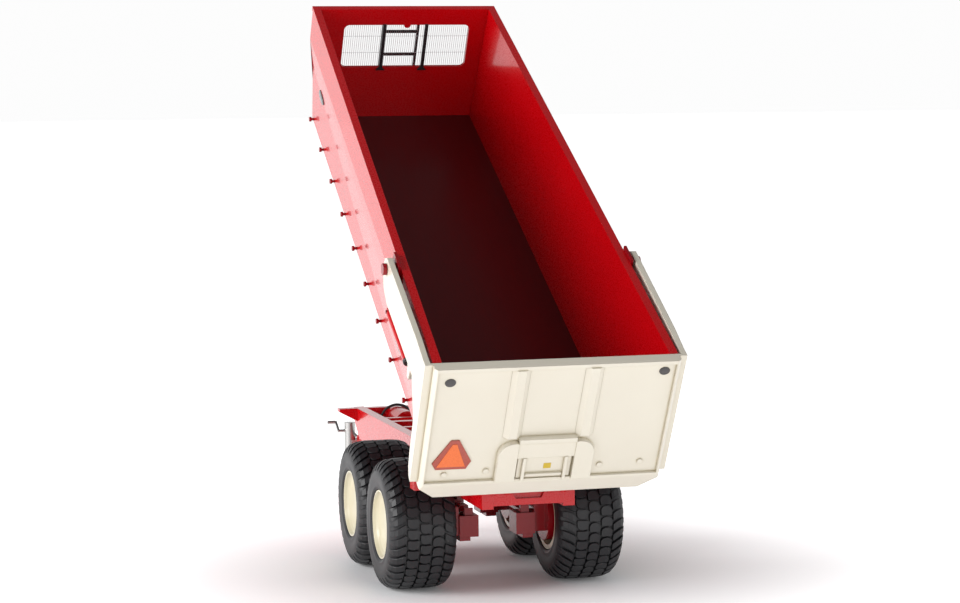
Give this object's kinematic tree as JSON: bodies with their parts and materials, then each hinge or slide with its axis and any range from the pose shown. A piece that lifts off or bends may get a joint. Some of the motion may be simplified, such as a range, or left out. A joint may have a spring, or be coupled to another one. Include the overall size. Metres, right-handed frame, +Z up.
{
  "type": "tipping trailer scale model",
  "caption": "Scale model of a tandem-axle tipping trailer: tapered open tub on a hinge, telescopic tip cylinder, swinging tailgate with chute, rocking bogies and parking jack.",
  "frame": {"origin": "middle of the bounding box on the ground that the tyres and the jack foot stand on", "axes": "+X forwards to the towing eye, +Y to the left side, +Z up"},
  "size_m": [0.3066, 0.0856, 0.1964],
  "materials": {
    "red_paint": "gloss red enamel",
    "dark_red_paint": "red enamel, shaded inside",
    "cream_paint": "gloss cream enamel",
    "ivory_rim": "ivory enamel",
    "tyre_rubber": "black moulded rubber",
    "black_paint": "black satin enamel",
    "steel": "bright steel",
    "chrome": "hard chrome",
    "hose_rubber": "black hose",
    "wire_mesh": "woven wire",
    "orange_reflector": "orange reflector"
  },
  "bodies": {
    "chassis": {"rail_left": "red_paint", "rail_right": "red_paint", "front_bolster": "red_paint", "cross_members": "red_paint", "rear_crossmember": "red_paint", "hinge_ears": "red_paint", "hinge_pins": "steel", "cylinder_cradle": "red_paint", "bogie_brackets": "red_paint", "lamp_brackets": "red_paint", "hitch_housing": "red_paint", "drawbar": "red_paint", "towing_eye": "steel", "jack_sleeve": "steel", "hydraulic_hose": "hose_rubber"},
    "jack_leg": {"jack_leg": "steel"},
    "jack_crank": {"jack_crank": "steel"},
    "tub": {"tub_floor": "dark_red_paint", "tub_side_left": "red_paint", "tub_side_right": "red_paint", "tub_front_wall": "red_paint", "window_mesh": "wire_mesh", "window_bars": "black_paint", "ladder": "black_paint", "tarp_hooks": "dark_red_paint", "floor_beams": "red_paint", "hinge_lugs": "red_paint", "tip_bracket": "red_paint", "gate_pivot_brackets": "dark_red_paint"},
    "tailgate": {"gate_panel": "cream_paint", "gate_frame": "cream_paint", "gate_ribs": "cream_paint", "gate_arm_left": "cream_paint", "gate_arm_right": "cream_paint", "chute_frame": "cream_paint", "gate_bolts": "cream_paint", "warning_triangle": "orange_reflector"},
    "chute_door": {"chute_door": "cream_paint"},
    "gate_barrel_left": {"gate_barrel_left": "red_paint"},
    "gate_barrel_right": {"gate_barrel_right": "red_paint"},
    "gate_rod_left": {"gate_rod_left": "steel"},
    "gate_rod_right": {"gate_rod_right": "steel"},
    "tip_barrel": {"tip_barrel": "red_paint"},
    "tip_stage_1": {"tip_stage_1": "chrome"},
    "tip_stage_2": {"tip_stage_2": "chrome"},
    "tip_stage_3": {"tip_stage_3": "chrome"},
    "tip_stage_4": {"tip_stage_4": "chrome"},
    "tip_rod": {"tip_rod": "chrome"},
    "bogie_left": {"spring_left": "dark_red_paint", "axles_left": "dark_red_paint"},
    "bogie_right": {"spring_right": "dark_red_paint", "axles_right": "dark_red_paint"},
    "wheel_rear_left": {"tyre_rear_left": "tyre_rubber", "rim_rear_left": "ivory_rim"},
    "wheel_front_left": {"tyre_front_left": "tyre_rubber", "rim_front_left": "ivory_rim"},
    "wheel_rear_right": {"tyre_rear_right": "tyre_rubber", "rim_rear_right": "ivory_rim"},
    "wheel_front_right": {"tyre_front_right": "tyre_rubber", "rim_front_right": "ivory_rim"}
  },
  "joints": [
    {"name": "tub_tip", "type": "hinge", "parent": "chassis", "child": "tub", "pos_m": [-0.11969, 0, 0.0415], "axis": [0, -1, 0], "range_deg": [-30.4, 14.6]},
    {"name": "tip_cylinder_tilt", "type": "hinge", "parent": "chassis", "child": "tip_barrel", "pos_m": [0.01731, 0, 0.035], "axis": [0, -1, 0], "range_deg": [-15.3, 7.4]},
    {"name": "tip_stage_1_slide", "type": "slide", "parent": "tip_barrel", "child": "tip_stage_1", "axis": [-0.2435, 0, 0.9699], "range_m": [-0.01415, 0.00682]},
    {"name": "tip_stage_2_slide", "type": "slide", "parent": "tip_stage_1", "child": "tip_stage_2", "axis": [-0.2435, 0, 0.9699], "range_m": [-0.01415, 0.00682]},
    {"name": "tip_stage_3_slide", "type": "slide", "parent": "tip_stage_2", "child": "tip_stage_3", "axis": [-0.2435, 0, 0.9699], "range_m": [-0.01415, 0.00682]},
    {"name": "tip_stage_4_slide", "type": "slide", "parent": "tip_stage_3", "child": "tip_stage_4", "axis": [-0.2435, 0, 0.9699], "range_m": [-0.01415, 0.00682]},
    {"name": "tip_rod_slide", "type": "slide", "parent": "tip_stage_4", "child": "tip_rod", "axis": [-0.2435, 0, 0.9699], "range_m": [-0.01415, 0.00682]},
    {"name": "tailgate_swing", "type": "hinge", "parent": "tub", "child": "tailgate", "pos_m": [-0.1009, 0, 0.10748], "axis": [0, 1, 0], "range_deg": [0, 45]},
    {"name": "gate_barrel_left_swing", "type": "hinge", "parent": "tub", "child": "gate_barrel_left", "pos_m": [-0.09863, 0.0402, 0.09374], "axis": [0, 1, 0], "range_deg": [0, 44.5]},
    {"name": "gate_rod_left_slide", "type": "slide", "parent": "gate_barrel_left", "child": "gate_rod_left", "axis": [-0.8701, 0, -0.4929], "range_m": [0, 0.01085]},
    {"name": "gate_barrel_right_swing", "type": "hinge", "parent": "tub", "child": "gate_barrel_right", "pos_m": [-0.09863, -0.0402, 0.09374], "axis": [0, 1, 0], "range_deg": [0, 44.5]},
    {"name": "gate_rod_right_slide", "type": "slide", "parent": "gate_barrel_right", "child": "gate_rod_right", "axis": [-0.8701, 0, -0.4929], "range_m": [0, 0.01085]},
    {"name": "chute_door_slide", "type": "slide", "parent": "tailgate", "child": "chute_door", "axis": [-0.506, 0, 0.8625], "range_m": [0, 0.006]},
    {"name": "bogie_left_rock", "type": "hinge", "parent": "chassis", "child": "bogie_left", "pos_m": [-0.05144, 0.00965, 0.0305], "axis": [0, 1, 0], "range_deg": [-3, 3]},
    {"name": "bogie_right_rock", "type": "hinge", "parent": "chassis", "child": "bogie_right", "pos_m": [-0.05144, -0.00965, 0.0305], "axis": [0, 1, 0], "range_deg": [-3, 3]},
    {"name": "wheel_rear_left_spin", "type": "hinge", "parent": "bogie_left", "child": "wheel_rear_left", "pos_m": [-0.07469, 0.0285, 0.02165], "axis": [0, 1, 0], "continuous": true},
    {"name": "wheel_front_left_spin", "type": "hinge", "parent": "bogie_left", "child": "wheel_front_left", "pos_m": [-0.02819, 0.0285, 0.02165], "axis": [0, 1, 0], "continuous": true},
    {"name": "wheel_rear_right_spin", "type": "hinge", "parent": "bogie_right", "child": "wheel_rear_right", "pos_m": [-0.07469, -0.0285, 0.02165], "axis": [0, 1, 0], "continuous": true},
    {"name": "wheel_front_right_spin", "type": "hinge", "parent": "bogie_right", "child": "wheel_front_right", "pos_m": [-0.02819, -0.0285, 0.02165], "axis": [0, 1, 0], "continuous": true},
    {"name": "jack_leg_slide", "type": "slide", "parent": "chassis", "child": "jack_leg", "axis": [0, 0, 1], "range_m": [0, 0.01]},
    {"name": "jack_crank_turn", "type": "hinge", "parent": "chassis", "child": "jack_crank", "pos_m": [0.12131, 0.0095, 0.0276], "axis": [0, 1, 0], "range_deg": [0, 1441]}
  ],
  "couplings": [
    {"joint": "tip_cylinder_tilt", "follows": "tub_tip", "ratio": 0.5},
    {"joint": "tip_stage_1_slide", "follows": "tub_tip", "m_per_rad": 0.026585},
    {"joint": "tip_stage_2_slide", "follows": "tub_tip", "m_per_rad": 0.026585},
    {"joint": "tip_stage_3_slide", "follows": "tub_tip", "m_per_rad": 0.026585},
    {"joint": "tip_stage_4_slide", "follows": "tub_tip", "m_per_rad": 0.026585},
    {"joint": "tip_rod_slide", "follows": "tub_tip", "m_per_rad": 0.026585},
    {"joint": "gate_barrel_left_swing", "follows": "tailgate_swing", "ratio": 0.9874},
    {"joint": "gate_rod_left_slide", "follows": "tailgate_swing", "m_per_rad": 0.013774},
    {"joint": "gate_barrel_right_swing", "follows": "tailgate_swing", "ratio": 0.9874},
    {"joint": "gate_rod_right_slide", "follows": "tailgate_swing", "m_per_rad": 0.013774},
    {"joint": "jack_crank_turn", "follows": "jack_leg_slide", "rad_per_m": 2513.3}
  ]
}
